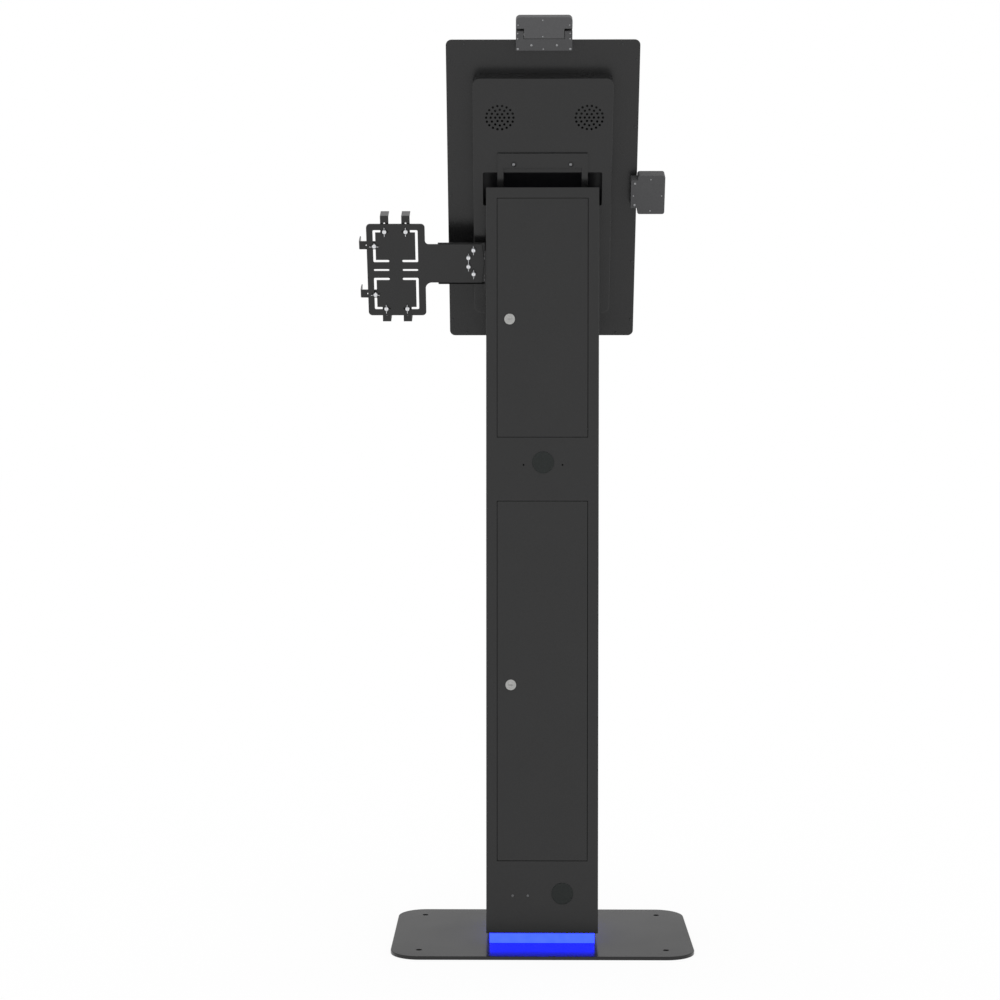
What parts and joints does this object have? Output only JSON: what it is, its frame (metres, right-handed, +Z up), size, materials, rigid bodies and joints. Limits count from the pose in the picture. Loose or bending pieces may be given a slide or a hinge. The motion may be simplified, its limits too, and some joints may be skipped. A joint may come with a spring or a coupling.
{
  "type": "self-service ordering kiosk",
  "caption": "Floor-standing ordering kiosk: tilted portrait touch screen on a doored column, camera, reader, payment-terminal arm with adjustable hooks, lit foot and floor plate.",
  "frame": {"origin": "centre of the floor plate's underside, on the floor", "axes": "+Z up; -Y towards the user and the screen side, +Y the service side with the doors; +X towards the payment-terminal arm"},
  "size_m": [0.598, 0.35, 1.6456],
  "materials": {
    "black_coat": "fine satin black powder coat",
    "bright_zinc": "bright zinc plate",
    "dull_zinc": "zinc plate gone dull",
    "grey_plastic": "dark grey moulded plastic",
    "cap_plastic": "dark moulded plastic",
    "black_plastic": "black moulded plastic",
    "raw_steel": "galvanised steel",
    "light_blue": "translucent diffuser lit blue",
    "led_board": "light strip",
    "screen_glass": "flat touch glass",
    "display_black": "display switched off",
    "circuit_board": "green board with solder mask",
    "lens_glass": "dark lens",
    "lock_nickel": "satin nickel",
    "receipt_paper": "thermal paper"
  },
  "bodies": {
    "kiosk": {"base_plate": "black_coat", "column_foot": "raw_steel", "light_diffuser": "light_blue", "led_strip": "led_board", "foot_bolts": "bright_zinc", "column_shell": "black_coat", "column_front_panel": "black_coat", "hinge_pins": "black_coat", "cable_caps": "cap_plastic", "earth_screws": "dull_zinc", "mounting_plate": "black_coat", "mounting_bolts": "bright_zinc", "hanger_bracket": "black_coat", "hanger_screws": "bright_zinc", "rear_cover": "black_coat", "rear_cover_screws": "dull_zinc", "screen_frame": "black_coat", "screen_glass": "screen_glass", "lcd_panel": "display_black", "speakers": "black_plastic", "main_board": "circuit_board", "camera_bracket": "grey_plastic", "camera_pivots": "black_plastic", "reader_shell": "grey_plastic", "reader_window": "black_plastic", "pod_screws": "bright_zinc", "arm_bracket": "black_coat", "arm_bracket_screws": "dull_zinc", "printer_shelf": "raw_steel", "receipt_printer": "black_plastic", "receipt_bezel": "black_plastic", "power_supply": "raw_steel"},
    "upper_door": {"upper_door": "black_coat", "upper_lock_body": "lock_nickel"},
    "upper_lock": {"upper_lock_plug": "lock_nickel", "upper_lock_cam": "bright_zinc"},
    "lower_door": {"lower_door": "black_coat", "lower_lock_body": "lock_nickel"},
    "lower_lock": {"lower_lock_plug": "lock_nickel", "lower_lock_cam": "bright_zinc"},
    "camera_head": {"camera_head": "grey_plastic", "camera_lens": "lens_glass"},
    "terminal_plate": {"terminal_plate": "black_coat", "arm_wing_screws": "bright_zinc"},
    "printer_cover": {"printer_cover": "black_plastic"},
    "paper_roll": {"paper_roll": "receipt_paper"},
    "power_switch": {"power_switch": "black_plastic"},
    "top_inner_hook": {"top_inner_hook": "black_coat", "top_inner_wing_screw": "bright_zinc"},
    "top_outer_hook": {"top_outer_hook": "black_coat", "top_outer_wing_screw": "bright_zinc"},
    "bottom_inner_hook": {"bottom_inner_hook": "black_coat", "bottom_inner_wing_screw": "bright_zinc"},
    "bottom_outer_hook": {"bottom_outer_hook": "black_coat", "bottom_outer_wing_screw": "bright_zinc"},
    "side_upper_hook": {"side_upper_hook": "black_coat", "side_upper_wing_screw": "bright_zinc"},
    "side_lower_hook": {"side_lower_hook": "black_coat", "side_lower_wing_screw": "bright_zinc"}
  },
  "joints": [
    {"name": "upper_door_hinge", "type": "hinge", "parent": "kiosk", "child": "upper_door", "pos_m": [-0.07, 0.0824, 0.9135], "axis": [0, 0, 1], "range_deg": [0, 110]},
    {"name": "upper_lock_turn", "type": "hinge", "parent": "upper_door", "child": "upper_lock", "pos_m": [0.0584, 0.086, 1.122], "axis": [0, 1, 0], "range_deg": [0, 90]},
    {"name": "lower_door_hinge", "type": "hinge", "parent": "kiosk", "child": "lower_door", "pos_m": [-0.07, 0.0824, 0.156], "axis": [0, 0, 1], "range_deg": [0, 110]},
    {"name": "lower_lock_turn", "type": "hinge", "parent": "lower_door", "child": "lower_lock", "pos_m": [0.0562, 0.086, 0.4717], "axis": [0, 1, 0], "range_deg": [0, 90]},
    {"name": "camera_tilt", "type": "hinge", "parent": "kiosk", "child": "camera_head", "pos_m": [-0.0016, 0.13984, 1.61677], "axis": [1, 0, 0], "range_deg": [0, 20]},
    {"name": "terminal_swing", "type": "hinge", "parent": "kiosk", "child": "terminal_plate", "pos_m": [0.1042, 0.02477, 1.22845], "axis": [0, -0.9147, 0.4042], "range_deg": [-6, 6]},
    {"name": "printer_cover_hinge", "type": "hinge", "parent": "kiosk", "child": "printer_cover", "pos_m": [0, -0.065, 1.0135], "axis": [1, 0, 0], "range_deg": [0, 70]},
    {"name": "paper_roll_spin", "type": "hinge", "parent": "kiosk", "child": "paper_roll", "pos_m": [0, -0.022, 0.97], "axis": [1, 0, 0], "continuous": true},
    {"name": "power_switch_rock", "type": "hinge", "parent": "kiosk", "child": "power_switch", "pos_m": [0, 0.01, 0.1253], "axis": [1, 0, 0], "range_deg": [-8, 8]},
    {"name": "top_inner_slide", "type": "slide", "parent": "terminal_plate", "child": "top_inner_hook", "axis": [1, 0, 0], "range_m": [-0.014, 0.003]},
    {"name": "top_outer_slide", "type": "slide", "parent": "terminal_plate", "child": "top_outer_hook", "axis": [1, 0, 0], "range_m": [-0.003, 0.014]},
    {"name": "bottom_inner_slide", "type": "slide", "parent": "terminal_plate", "child": "bottom_inner_hook", "axis": [1, 0, 0], "range_m": [-0.014, 0.003]},
    {"name": "bottom_outer_slide", "type": "slide", "parent": "terminal_plate", "child": "bottom_outer_hook", "axis": [1, 0, 0], "range_m": [-0.003, 0.014]},
    {"name": "side_upper_slide", "type": "slide", "parent": "terminal_plate", "child": "side_upper_hook", "axis": [0, 0.4042, 0.9147], "range_m": [-0.02, 0.006]},
    {"name": "side_lower_slide", "type": "slide", "parent": "terminal_plate", "child": "side_lower_hook", "axis": [0, 0.4042, 0.9147], "range_m": [-0.006, 0.02]}
  ]
}
